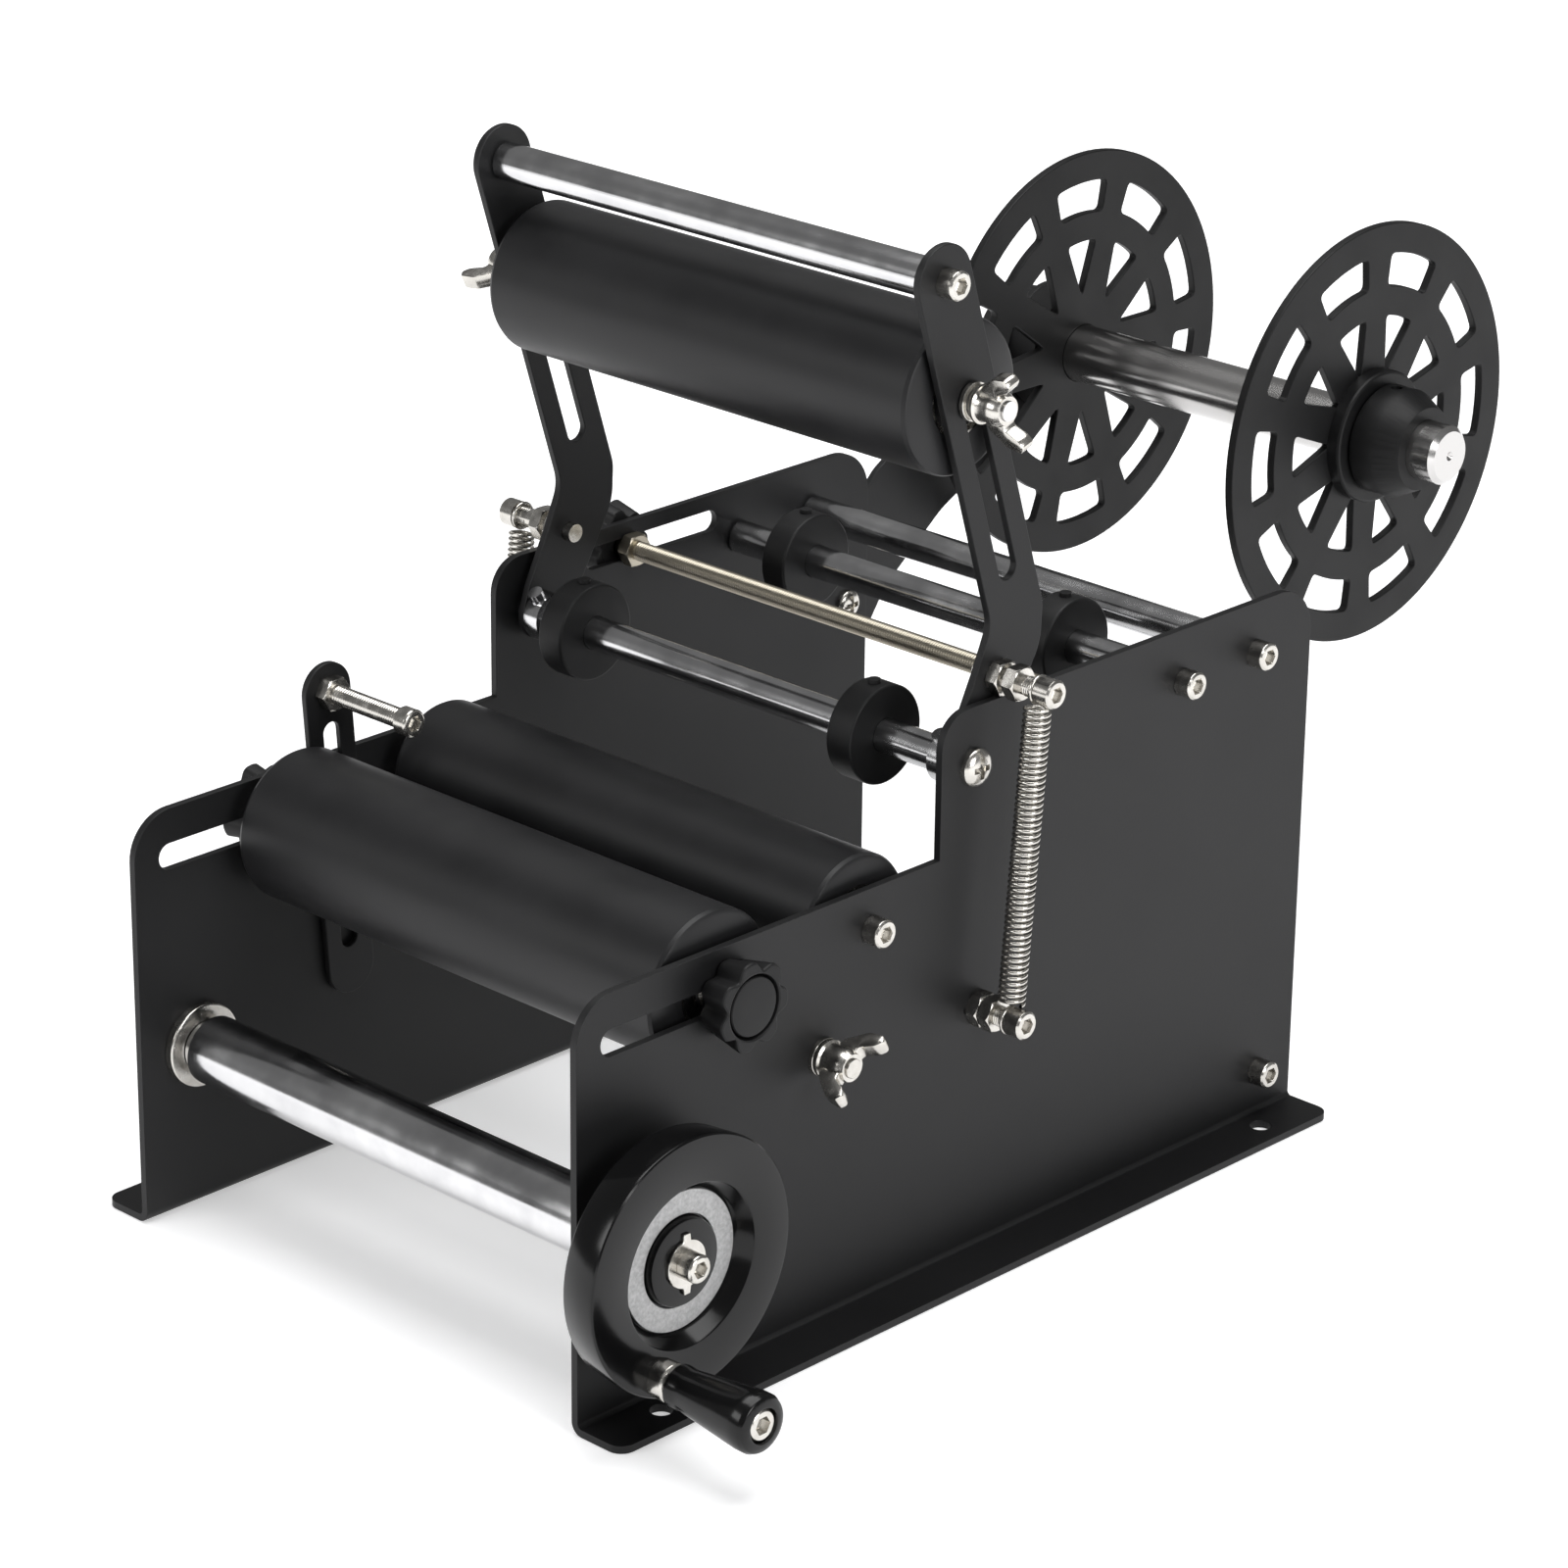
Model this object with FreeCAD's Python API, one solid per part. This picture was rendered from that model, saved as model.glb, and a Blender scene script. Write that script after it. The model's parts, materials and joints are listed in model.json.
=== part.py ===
import FreeCAD, Part
import math
import os

# Manual round-bottle labelling machine.
# All sizes are in millimetres. X runs across the machine from the left plate to
# the crank side, Y runs back from the front edge of the side plates, Z is up
# from the bench. Each piece is saved about the middle of the four bench holes.

V = FreeCAD.Vector

# ---- clearances -------------------------------------------------------------
side_gap = 0.4          # between pieces that move past each other
run_gap = 0.05          # radial, shaft in a bore it turns or slides in

# ---- side plates ------------------------------------------------------------
inner_gap = 190.0
sheet = 2.5
plate_depth = 323.5
plate_top = 181.0
front_top = 135.6
step_y = 150.3
front_corner_r = 14.5
step_corner_r = 11.0
rear_corner_r = 16.0
flange_width = 18.0
flange_corner_r = 5.0
bend_r = 1.5
bench_hole_d = 7.0
bench_hole_in = 25.0    # from the plate's ends
bench_hole_out = 9.0    # from the plate's outer face
hole_play = 0.4         # screw hole over screw, on the diameter

half = inner_gap / 2
outer = half + sheet

# ---- screws and nuts --------------------------------------------------------
m6 = 6.0
cap_d = 9.0
cap_h = 6.0
cap_socket = 4.6
cap_socket_depth = 3.0
pan_d = 12.0
pan_h = 3.6
pan_slot = 1.8
pan_slot_len = 6.6
pan_slot_depth = 1.8
nut_af = 10.0
nut_h = 4.4
washer_d = 12.0
washer_h = 1.6
lock_washer_d = 10.5
screw_depth = 12.0      # thread length inside a rod's end

# ---- cross rods: (y, z) of each -------------------------------------------------
rod_d = 11.0
pivot = (164.5, 162.0)
guide_front = (261.0, 163.5)
guide_rear = (296.0, 164.0)
tie = (306.5, 16.5)
rod_chamfer = 0.8

# ---- rollers --------------------------------------------------------------------
axle_d = 10.0
bearing_d = 22.0
bearing_w = 6.0
shoulder_d = 14.0
core_bore = 13.0
roller_edge = 1.2
front_axle = (60.0, 120.0)
front_roller_d = 49.0
front_roller_ends = (-87.5, 91.5)
rear_axle = (121.0, 122.4)
rear_roller_d = 43.0
rear_roller_ends = (-88.0, 91.5)
press_axle_z = 275.5
press_roller_d = 48.0
press_roller_ends = (-83.0, 90.0)
adjust_slot = 8.5
adjust_slot_ends = (9.6, 75.0)
front_stud_d = 7.7

# ---- press arms -----------------------------------------------------------------
arm_left_x = -92.1
arm_right_x = 91.6
arm_head = (151.0, 313.5)
arm_lean = 0.32         # the leg runs back this much for each millimetre down
arm_head_r = 11.2
press_axle = (arm_head[0] + arm_lean * (arm_head[1] - press_axle_z), press_axle_z)
arm_slot = 7.6
arm_slot_low = 219.8
arm_slot_play = 1.1     # axle stud to the slot's closed end
arm_hole = 0.1
crossbar_d = 12.0
stud_up = (177.5, 186.6)
stud_low = (168.5, 82.5)
hook_x = 111.0
stud_tip = 86.5
stud_head_x = 112.0
ring_d = 15.5
ring_w = 6.0
ring_screw_d = 5.0
ring_screw_r = 10.8
ring_screw_lean = 30.0

# ---- springs --------------------------------------------------------------------
spring_d = 8.8
wire_d = 1.3
hook_r = 4.05
coil_inset = 8.5

# ---- guide collars --------------------------------------------------------------
collar_d = 31.5
collar_w = 10.0
pivot_collars = (-74.0, 51.5)
guide_collars = (-69.5, 43.5)
grub_d = 4.0
grub_rise = 1.2

# ---- take-up shaft, handwheel and crank --------------------------------------------
take_up = (23.0, 54.8)
take_d = 22.0
take_neck_d = 17.0
take_neck_w = 3.0
take_end_d = 12.0
bush_flange_d = 27.2
bush_flange_w = 3.0
bush_d = 18.0
bush_end_x = 100.6
wheel_d = 80.0
wheel_x = (107.0, 121.0)
wheel_edge = 4.5
dish_d = 50.7
dish_x = 115.0
hub_d = 27.0
hub_x = 118.0
wheel_boss_d = 26.0
ring_out_d = 43.4
ring_in_d = 28.7
ring_x = 116.0
tab_w = 5.0
tab_r = 9.6
tab_washer_d = 15.0
tab_h = 1.0
wheel_screw_d = 8.8
wheel_screw_h = 5.4
wheel_screw_thread = 5.0
crank = (10.5, 24.0)
crank_neck_d = 12.0
crank_neck_x = 127.0
crank_pin_d = 8.0
grip_x = 162.0
grip_small_d = 13.5
grip_large_d = 18.4
grip_waist_d = 12.8
crank_head_d = 10.0
crank_head_h = 4.0

# ---- label reel -----------------------------------------------------------------
reel = (417.5, 196.4)
reel_shaft_d = 20.0
reel_shaft_end = 78.5
reel_disc_d = 143.0
reel_disc_w = 3.0
reel_left_x = -90.0
reel_right_x = 41.2
reel_boss_d = 45.0
reel_boss_right = 49.9
reel_windows = 10
window_in_r = 50.5
window_out_r = 61.0
window_half = 9.5       # degrees
window_corner = 3.0
spoke_in_r = 21.0
spoke_out_r = 39.0
reel_collar_d = 36.8
reel_collar_x = (50.3, 68.0)
reel_collar_nose = 28.0
bracket_head_r = 21.5
bracket_screw = (313.9, 126.2)
bracket_screw_d = 10.0
bracket_screw_h = 2.5
bracket_screw_tip = 2.0
shaft_screw_d = 8.0
shaft_screw_head_d = 13.0
shaft_screw_head_h = 8.0

# ---- bottle stop ----------------------------------------------------------------
stop_top = (76.9, 157.7)
stop_lean = 4.5         # degrees, foot towards the back
stop_width = 18.5
stop_length = 95.0
stop_sheet = 2.2
stop_arm_x = -94.7
stop_slot = 6.6
stop_slot_span = (13.9, 85.0)
stop_bolt_down = 69.9
stop_screw_x = (-100.0, -58.0)
stop_screw_head = 5.2
side_bolt = (100.5, 88.0)

# ---- threaded bar ---------------------------------------------------------------
bar = (209.5, 172.0)
bar_end = 90.0
bar_slot = 7.5
bar_slot_ends = (190.0, 250.3)

# ---- star knobs and wing nuts ------------------------------------------------------
knob_lobes = 6
knob_r = 15.0
knob_lobe_r = 4.2
knob_lobe_h = 7.0
knob_cap_d = 18.4
knob_h = 11.2
knob_stud = 9.5         # stud length inside the knob
wing_hub_d = 12.0
wing_hub_small_d = 9.5
wing_hub_h = 8.6
wing_span = 25.0
wing_rise = 12.5
wing_t = 2.4
wing_stud = 11.0
press_wing_turn = -71.0 # degrees from level
side_wing_turn = 34.0


# ---- basic shapes ---------------------------------------------------------------
def outline(corners):
    """Closed wire in the YZ plane through (y, z, radius) corners."""
    count = len(corners)
    edges = []
    starts = []
    ends = []
    for i in range(count):
        y, z, r = corners[i]
        here = V(0, y, z)
        back = V(0, corners[i - 1][0], corners[i - 1][1]).sub(here).normalize()
        ahead_corner = corners[(i + 1) % count]
        ahead = V(0, ahead_corner[0], ahead_corner[1]).sub(here).normalize()
        if r == 0:
            starts.append(here)
            ends.append(here)
            edges.append(None)
            continue
        turn = back.getAngle(ahead) / 2
        start = here.add(V(back).multiply(r / math.tan(turn)))
        end = here.add(V(ahead).multiply(r / math.tan(turn)))
        mid_way = V(back).add(ahead).normalize()
        middle = here.add(mid_way.multiply(r / math.sin(turn) - r))
        starts.append(start)
        ends.append(end)
        edges.append(Part.Arc(start, middle, end).toShape())
    loop = []
    for i in range(count):
        if edges[i] is not None:
            loop.append(edges[i])
        after = starts[(i + 1) % count]
        if ends[i].distanceToPoint(after) > 1e-4:
            loop.append(Part.makeLine(ends[i], after))
    return Part.Wire(loop)


def slab(corners, x0, x1):
    body = Part.Face(outline(corners)).extrude(V(x1 - x0, 0, 0))
    body.translate(V(x0, 0, 0))
    return body


def slot(a, b, width, x0, x1):
    """Round-ended slot whose end centres are a and b, given as (y, z)."""
    run = V(0, b[0] - a[0], b[1] - a[1]).normalize()
    across = V(0, -run.z, run.y).multiply(width / 2)
    reach = V(run).multiply(width / 2)
    first = V(0, a[0], a[1]).sub(reach)
    last = V(0, b[0], b[1]).add(reach)
    points = [first.add(across), first.sub(across), last.sub(across), last.add(across)]
    return slab([(p.y, p.z, width / 2) for p in points], x0, x1)


def rod(x0, x1, centre, d):
    start = V(x0, centre[0], centre[1])
    return Part.makeCylinder(d / 2, abs(x1 - x0), start, V(math.copysign(1, x1 - x0), 0, 0))


def tube(x0, x1, centre, d_out, d_in):
    return rod(x0, x1, centre, d_out).cut(rod(x0, x1, centre, d_in))


def lathe(profile, centre):
    """Turned piece: closed profile of (x, radius) points about the line through centre."""
    points = [V(x, r, 0) for x, r in profile]
    points.append(points[0])
    face = Part.Face(Part.makePolygon(points))
    body = face.revolve(V(0, 0, 0), V(1, 0, 0), 360)
    body.translate(V(0, centre[0], centre[1]))
    return body


def prism(x0, x1, centre, across_flats, sides=6):
    """Regular prism along X with a flat facing down."""
    r = across_flats / 2 / math.cos(math.pi / sides)
    points = []
    for i in range(sides + 1):
        a = 2 * math.pi * (i + 0.5) / sides + math.pi / 2
        points.append(V(x0, centre[0] + r * math.cos(a), centre[1] + r * math.sin(a)))
    return Part.Face(Part.makePolygon(points)).extrude(V(x1 - x0, 0, 0))


def mirrored(body):
    return body.mirror(V(0, 0, 0), V(1, 0, 0))


def round_edges(body, r, test):
    return body.makeFillet(r, [edge for edge in body.Edges if test(edge)])


def chamfered_rod(x0, x1, centre, d, chamfer):
    return lathe([(x0, 0), (x0, d / 2 - chamfer), (x0 + chamfer, d / 2),
                  (x1 - chamfer, d / 2), (x1, d / 2 - chamfer), (x1, 0)], centre)


# ---- fasteners ------------------------------------------------------------------
def cap_screw(seat, way, centre, shank_d, length, head_d=cap_d, head_h=cap_h):
    """Socket head screw: seat is the face under the head, way is the head's side."""
    top = seat + way * head_h
    chamfer = head_d * 0.07
    head = lathe([(seat, 0), (seat, head_d / 2), (top - way * chamfer, head_d / 2),
                  (top, head_d / 2 - chamfer), (top, 0)], centre)
    floor = top - way * cap_socket_depth
    head = head.cut(prism(floor, top + way, centre, head_d * cap_socket / cap_d))
    return head.fuse(rod(seat, seat - way * length, centre, shank_d)).removeSplitter()


def pan_screw(seat, way, centre, shank_d, length, head_d=pan_d, head_h=pan_h):
    top = seat + way * head_h
    head = lathe([(seat, 0), (seat, head_d / 2), (seat + way * head_h * 0.45, head_d / 2),
                  (seat + way * head_h * 0.8, head_d * 0.4), (top, head_d * 0.22), (top, 0)],
                 centre)
    for across, tall in ((pan_slot_len, pan_slot), (pan_slot, pan_slot_len)):
        floor = top - way * pan_slot_depth
        low = V(min(floor, top + way), centre[0] - across / 2, centre[1] - tall / 2)
        head = head.cut(Part.makeBox(pan_slot_depth + 1, across, tall, low))
    return head.fuse(rod(seat, seat - way * length, centre, shank_d)).removeSplitter()


def nut(x0, x1, centre, bore):
    body = prism(x0, x1, centre, nut_af)
    bevel = lathe([(x0, 0), (x0, nut_af / 2), (x0 + 0.5, nut_af * 0.58),
                   (x1 - 0.5, nut_af * 0.58), (x1, nut_af / 2), (x1, 0)], centre)
    return body.common(bevel).cut(rod(x0, x1, centre, bore))


def star_knob(seat, way, centre, stud_d):
    """Moulded star knob standing off the face at seat on the side given by way."""
    hub = rod(seat, seat + way * knob_lobe_h, centre, (knob_r - knob_lobe_r) * 2)
    for i in range(knob_lobes):
        a = 2 * math.pi * i / knob_lobes
        at = (centre[0] + (knob_r - knob_lobe_r) * math.cos(a),
              centre[1] + (knob_r - knob_lobe_r) * math.sin(a))
        hub = hub.fuse(rod(seat, seat + way * knob_lobe_h, at, knob_lobe_r * 2))
    dome = lathe([(seat, 0), (seat, knob_r - 1), (seat + way, knob_r),
                  (seat + way * knob_lobe_h * 0.6, knob_r),
                  (seat + way * knob_lobe_h, knob_r * 0.7),
                  (seat + way * knob_lobe_h, 0)], centre)
    top = seat + way * knob_h
    cap = lathe([(seat, 0), (seat, knob_cap_d / 2), (top - way, knob_cap_d / 2),
                 (top, knob_cap_d / 2 - 1), (top, 0)], centre)
    body = hub.common(dome).fuse(cap).removeSplitter()
    return body.cut(rod(seat, seat + way * (knob_stud + side_gap), centre, stud_d + 2 * run_gap))


def wing_nut(seat, way, centre, turn):
    """Wing nut with its wings at the given angle from level, in degrees."""
    hub = lathe([(seat, 0), (seat, wing_hub_d / 2),
                 (seat + way * wing_hub_h, wing_hub_small_d / 2),
                 (seat + way * wing_hub_h, 0)], centre)
    tip = wing_span / 2
    root = wing_hub_small_d / 2 - 1
    wing = Part.Face(outline([(root, 1.5, 0), (tip - 4, 2.5, 2), (tip, wing_rise - 4, 3),
                              (tip - 1, wing_rise, 2), (tip - 5, wing_rise, 2),
                              (root + 1, wing_hub_h - 1, 1), (root, wing_hub_h - 1, 0)]))
    wing = wing.extrude(V(wing_t, 0, 0))
    wing.translate(V(-wing_t / 2, 0, 0))
    wing.rotate(V(0, 0, 0), V(0, 1, 0), 90 * way)
    other = wing.copy()
    other.rotate(V(0, 0, 0), V(1, 0, 0), 180)
    pair = wing.fuse(other)
    pair.rotate(V(0, 0, 0), V(1, 0, 0), turn)
    pair.translate(V(seat, centre[0], centre[1]))
    return hub.fuse(pair).removeSplitter().cut(
        rod(seat - way, seat + way * wing_rise, centre, m6 + 2 * run_gap))


# ---- side plates ----------------------------------------------------------------
def side_plate(side):
    """Folded side plate; the right one is drawn and the left one mirrored."""
    bend = bend_r + sheet
    edge = outer + flange_width
    corner = V(half + bend, 0, bend)
    s = math.sqrt(0.5)
    section = Part.Wire([
        Part.makeLine(V(half, 0, plate_top), V(half, 0, bend)),
        Part.Arc(V(half, 0, bend), corner.add(V(-bend * s, 0, -bend * s)),
                 V(half + bend, 0, 0)).toShape(),
        Part.makeLine(V(half + bend, 0, 0), V(edge, 0, 0)),
        Part.makeLine(V(edge, 0, 0), V(edge, 0, sheet)),
        Part.makeLine(V(edge, 0, sheet), V(half + bend, 0, sheet)),
        Part.Arc(V(half + bend, 0, sheet), corner.add(V(-bend_r * s, 0, -bend_r * s)),
                 V(outer, 0, bend)).toShape(),
        Part.makeLine(V(outer, 0, bend), V(outer, 0, plate_top)),
        Part.makeLine(V(outer, 0, plate_top), V(half, 0, plate_top))])
    body = Part.Face(section).extrude(V(0, plate_depth, 0))
    body = body.common(slab([(0, 0, 0), (0, front_top, front_corner_r),
                             (step_y, front_top, 0), (step_y, plate_top, step_corner_r),
                             (plate_depth, plate_top, rear_corner_r),
                             (plate_depth, 0, 0)], half, edge))
    body = round_edges(body, flange_corner_r,
                       lambda e: e.BoundBox.XMin > edge - 0.1 and e.BoundBox.YLength < 0.1)
    screw_hole = m6 + hole_play
    holes = [rod(half - 1, outer + 1, at, screw_hole)
             for at in (pivot, guide_front, guide_rear, tie, rear_axle, stud_low)]
    holes.append(rod(half - 1, outer + 1, take_up, bush_d))
    reach = adjust_slot / 2
    holes.append(slot((adjust_slot_ends[0] + reach, front_axle[1]),
                      (adjust_slot_ends[1] - reach, front_axle[1]),
                      adjust_slot, half - 1, outer + 1))
    for y in (bench_hole_in, plate_depth - bench_hole_in):
        holes.append(Part.makeCylinder(bench_hole_d / 2, sheet + 2,
                                       V(outer + bench_hole_out, y, -1)))
    if side < 0:
        reach = bar_slot / 2
        holes.append(slot((bar_slot_ends[0] + reach, bar[1]), (bar_slot_ends[1] - reach, bar[1]),
                          bar_slot, half - 1, outer + 1))
        for at in (bracket_screw, stop_bolt()):
            holes.append(rod(half - 1, outer + 1, at, screw_hole))
    else:
        holes.append(rod(half - 1, outer + 1, side_bolt, screw_hole))
    for hole in holes:
        body = body.cut(hole)
    return body if side > 0 else mirrored(body)


# ---- rods and axles -------------------------------------------------------------
def cross_rod(centre, d):
    """Rod between the plates, drilled at both ends for its screws."""
    body = chamfered_rod(-half, half, centre, d, rod_chamfer)
    for way in (-1, 1):
        body = body.cut(rod(way * half, way * (half - screw_depth), centre, m6))
    return body


def end_screws(centres, screw):
    return [screw(way * outer, way, centre, m6, screw_depth + sheet)
            for centre in centres for way in (-1, 1)]


def rod_screws():
    """Cap screws in the rods' ends; the rear guide rod's left one also holds the bracket."""
    solids = end_screws((tie, guide_front, rear_axle), cap_screw)
    solids.append(cap_screw(outer, 1, guide_rear, m6, screw_depth + sheet))
    solids.append(cap_screw(-outer - sheet, -1, guide_rear, m6, screw_depth + 2 * sheet))
    return Part.Compound(solids)


def rear_roller_axle():
    body = rod(-half, half, rear_axle, axle_d)
    body = body.fuse(rod(-half, rear_roller_ends[0] - side_gap, rear_axle, shoulder_d))
    body = body.fuse(rod(rear_roller_ends[1] + side_gap, half, rear_axle, shoulder_d))
    for way in (-1, 1):
        body = body.cut(rod(way * half, way * (half - screw_depth), rear_axle, m6))
    return body


def studded_axle(centre, ends, inside, stud_d, reach):
    """Axle with shoulders either side of its roller and a stud at each end."""
    left, right = inside
    body = rod(left, right, centre, axle_d)
    body = body.fuse(rod(left, ends[0] - side_gap, centre, shoulder_d))
    body = body.fuse(rod(ends[1] + side_gap, right, centre, shoulder_d))
    return body.fuse(rod(reach[0], reach[1], centre, stud_d))


def roller(centre, ends, d):
    """Rubber-faced roller with a bearing seat in each end."""
    left, right = ends
    r = d / 2
    seat = bearing_d / 2
    bore = core_bore / 2
    return lathe([(left, seat), (left, r - roller_edge), (left + roller_edge, r),
                  (right - roller_edge, r), (right, r - roller_edge), (right, seat),
                  (right - bearing_w, seat), (right - bearing_w, bore),
                  (left + bearing_w, bore), (left + bearing_w, seat)], centre)


def roller_bearings(centre, ends):
    solids = []
    for x0, way in ((ends[0], 1), (ends[1], -1)):
        x1 = x0 + way * bearing_w
        body = tube(x0, x1, centre, bearing_d, axle_d + 2 * run_gap)
        groove = tube(x0, x0 + way * 0.5, centre, bearing_d - 4.4, axle_d + 4)
        solids.append(body.cut(groove))
    return Part.Compound(solids)


# ---- press arms -----------------------------------------------------------------
def leg_point(z):
    """Point on the centre line of the arm's straight leg."""
    return (arm_head[0] + arm_lean * (arm_head[1] - z), z)


def press_arm(x0):
    slope = math.hypot(1, arm_lean)
    side_y = arm_head_r * slope
    head_y, head_z = leg_point(arm_head[1] + arm_head_r / slope)
    across = arm_head_r / slope
    drop = arm_head_r * arm_lean / slope
    shape = slab([(head_y - across, head_z - drop, arm_head_r * 0.98),
                  (leg_point(203)[0] - side_y, 203.0, 12), (168.5, 189.0, 20),
                  (160.0, 172.0, 20), (153.8, 152.6, 9.6), (174.6, 152.6, 9.6),
                  (182.5, 167.6, 14), (197.0, 192.5, 18), (leg_point(205)[0] + side_y, 205.0, 12),
                  (head_y + across, head_z + drop, arm_head_r * 0.98)], x0, x0 + sheet)
    reach = arm_slot / 2
    top = press_axle[1] + m6 / 2 + arm_slot_play - reach
    shape = shape.cut(slot(leg_point(arm_slot_low), leg_point(top), arm_slot,
                           x0 - 1, x0 + sheet + 1))
    shape = shape.cut(rod(x0 - 1, x0 + sheet + 1, pivot, rod_d + arm_hole))
    shape = shape.cut(rod(x0 - 1, x0 + sheet + 1, stud_up, m6))
    return shape.cut(rod(x0 - 1, x0 + sheet + 1, arm_head, m6))


def crossbar():
    body = chamfered_rod(arm_left_x + sheet, arm_right_x, arm_head, crossbar_d, rod_chamfer)
    body = body.cut(rod(arm_left_x + sheet, arm_left_x + sheet + screw_depth, arm_head, m6))
    return body.cut(rod(arm_right_x, arm_right_x - screw_depth, arm_head, m6))


def crossbar_screws():
    length = sheet + screw_depth
    return Part.Compound([cap_screw(arm_left_x, -1, arm_head, m6, length),
                          cap_screw(arm_right_x + sheet, 1, arm_head, m6, length)])


def spring_stud(centre, inner_tip, nuts):
    """Cap screw that holds a spring hook under its head, with its two nuts."""
    screw = cap_screw(stud_head_x, 1, centre, m6, stud_head_x - inner_tip)
    return [screw] + [nut(x, x + nut_h, centre, m6) for x in nuts]


def spring_studs(centre, inner_tip, right_nuts, left_nuts):
    solids = spring_stud(centre, inner_tip, right_nuts)
    solids += [mirrored(body) for body in spring_stud(centre, inner_tip, left_nuts)]
    return Part.Compound(solids)


def arm_lock_rings():
    solids = []
    lean = math.radians(ring_screw_lean)
    aim = V(0, -math.sin(lean), math.cos(lean))
    for x0 in (arm_left_x + sheet + side_gap, arm_right_x - side_gap - ring_w):
        ring = tube(x0, x0 + ring_w, pivot, ring_d, rod_d)
        start = V(x0 + ring_w / 2, pivot[0], pivot[1])
        screw = Part.makeCylinder(ring_screw_d / 2, ring_screw_r, start, aim)
        screw = screw.cut(rod(x0, x0 + ring_w, pivot, rod_d))
        solids += [ring.cut(screw), screw]
    return Part.Compound(solids)


# ---- springs --------------------------------------------------------------------
def tension_spring(way):
    """Close-wound spring drawn as a plain tube, with a hook round each stud."""
    low = V(way * hook_x, stud_low[0], stud_low[1])
    high = V(way * hook_x, stud_up[0], stud_up[1])
    run = high.sub(low)
    length = run.Length
    run.normalize()
    base = low.add(V(run).multiply(coil_inset))
    coil = Part.makeCylinder(spring_d / 2, length - 2 * coil_inset, base, run)
    hollow = Part.makeCylinder(spring_d / 2 - wire_d, length - 2 * coil_inset, base, run)
    coil = coil.cut(hollow)
    across = V(0, -run.z, run.y)
    for end, toward in ((low, V(run)), (high, V(run).multiply(-1))):
        loop = Part.makeTorus(hook_r, wire_d / 2, end, V(1, 0, 0))
        foot = end.add(V(toward).multiply(hook_r))
        leg = Part.makeCylinder(wire_d / 2, coil_inset - hook_r + wire_d, foot, toward)
        bar_start = end.add(V(toward).multiply(coil_inset + wire_d))
        bar_start = bar_start.sub(V(across).multiply(spring_d / 2 - wire_d / 2))
        cross = Part.makeCylinder(wire_d / 2, spring_d - wire_d, bar_start, across)
        coil = coil.fuse(loop).fuse(leg).fuse(cross)
    return coil


# ---- guide collars --------------------------------------------------------------
def guide_collar(x0, centre):
    """Plastic collar that slides on a rod, with its grub screw standing on top."""
    body = tube(x0, x0 + collar_w, centre, collar_d, rod_d + 2 * run_gap)
    body = round_edges(body, 0.8, lambda e: abs(e.BoundBox.YLength - collar_d) < 0.1)
    middle = x0 + collar_w / 2
    start = V(middle, centre[0], centre[1] + rod_d / 2 + side_gap)
    length = collar_d / 2 + grub_rise - rod_d / 2 - side_gap
    grub = Part.makeCylinder(grub_d / 2, length, start)
    return Part.Compound([body.cut(grub), grub])


# ---- take-up shaft --------------------------------------------------------------
def take_up_bearing(way):
    flange_in = half - bush_flange_w
    body = rod(way * flange_in, way * half, take_up, bush_flange_d)
    body = round_edges(body, 0.6, lambda e: abs(e.CenterOfMass.x) < half - 0.5)
    body = body.fuse(rod(way * half, way * bush_end_x, take_up, bush_d))
    return body.cut(rod(way * flange_in, way * bush_end_x, take_up, take_end_d + 2 * run_gap))


def take_up_shaft():
    face = half - bush_flange_w - side_gap
    r = take_d / 2
    neck = take_neck_d / 2
    end = take_end_d / 2
    step = face - take_neck_w
    left_end = bush_end_x + side_gap
    body = lathe([(-left_end, 0), (-left_end, end - 1), (1 - left_end, end), (-face, end),
                  (-face, neck), (-step, neck), (-step, r - 1), (1 - step, r), (step - 1, r),
                  (step, r - 1), (step, neck), (face, neck), (face, end), (hub_x, end),
                  (hub_x, 0)], take_up)
    return body.cut(rod(hub_x, hub_x - screw_depth, take_up, wheel_screw_thread))


def handwheel():
    """Moulded handwheel with a rounded rim, a dished face and a hub."""
    back, front = wheel_x
    r = wheel_d / 2
    body = lathe([(back, take_end_d / 2), (back, r), (front, r), (front, dish_d / 2),
                  (dish_x, dish_d / 2 - 0.6), (dish_x, hub_d / 2), (hub_x, hub_d / 2),
                  (hub_x, take_end_d / 2)], take_up)
    body = round_edges(body, wheel_edge, lambda e: e.BoundBox.YLength > wheel_d - 0.1)
    body = round_edges(body, 1.0, lambda e: abs(e.BoundBox.YLength - dish_d) < 0.1)
    boss = tube(bush_end_x + side_gap, back, take_up, wheel_boss_d, take_end_d)
    body = body.fuse(boss).removeSplitter()
    return body.cut(rod(back - 1, front + 1, crank, crank_pin_d))


def handwheel_screw():
    """Tab washer on the hub and the screw that holds the wheel on its shaft."""
    washer = rod(hub_x, hub_x + tab_h, take_up, tab_washer_d)
    for way in (-1, 1):
        tip = take_up[1] + way * tab_r
        root = take_up[1]
        tab = slab([(take_up[0] - tab_w / 2, root, 0), (take_up[0] + tab_w / 2, root, 0),
                    (take_up[0] + tab_w / 4, tip, 0.4), (take_up[0] - tab_w / 4, tip, 0.4)],
                   hub_x, hub_x + tab_h)
        washer = washer.fuse(tab)
    washer = washer.removeSplitter().cut(rod(hub_x, hub_x + tab_h, take_up, wheel_screw_thread))
    screw = cap_screw(hub_x + tab_h, 1, take_up, wheel_screw_thread, screw_depth,
                      wheel_screw_d, wheel_screw_h)
    return Part.Compound([washer, screw])


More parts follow.
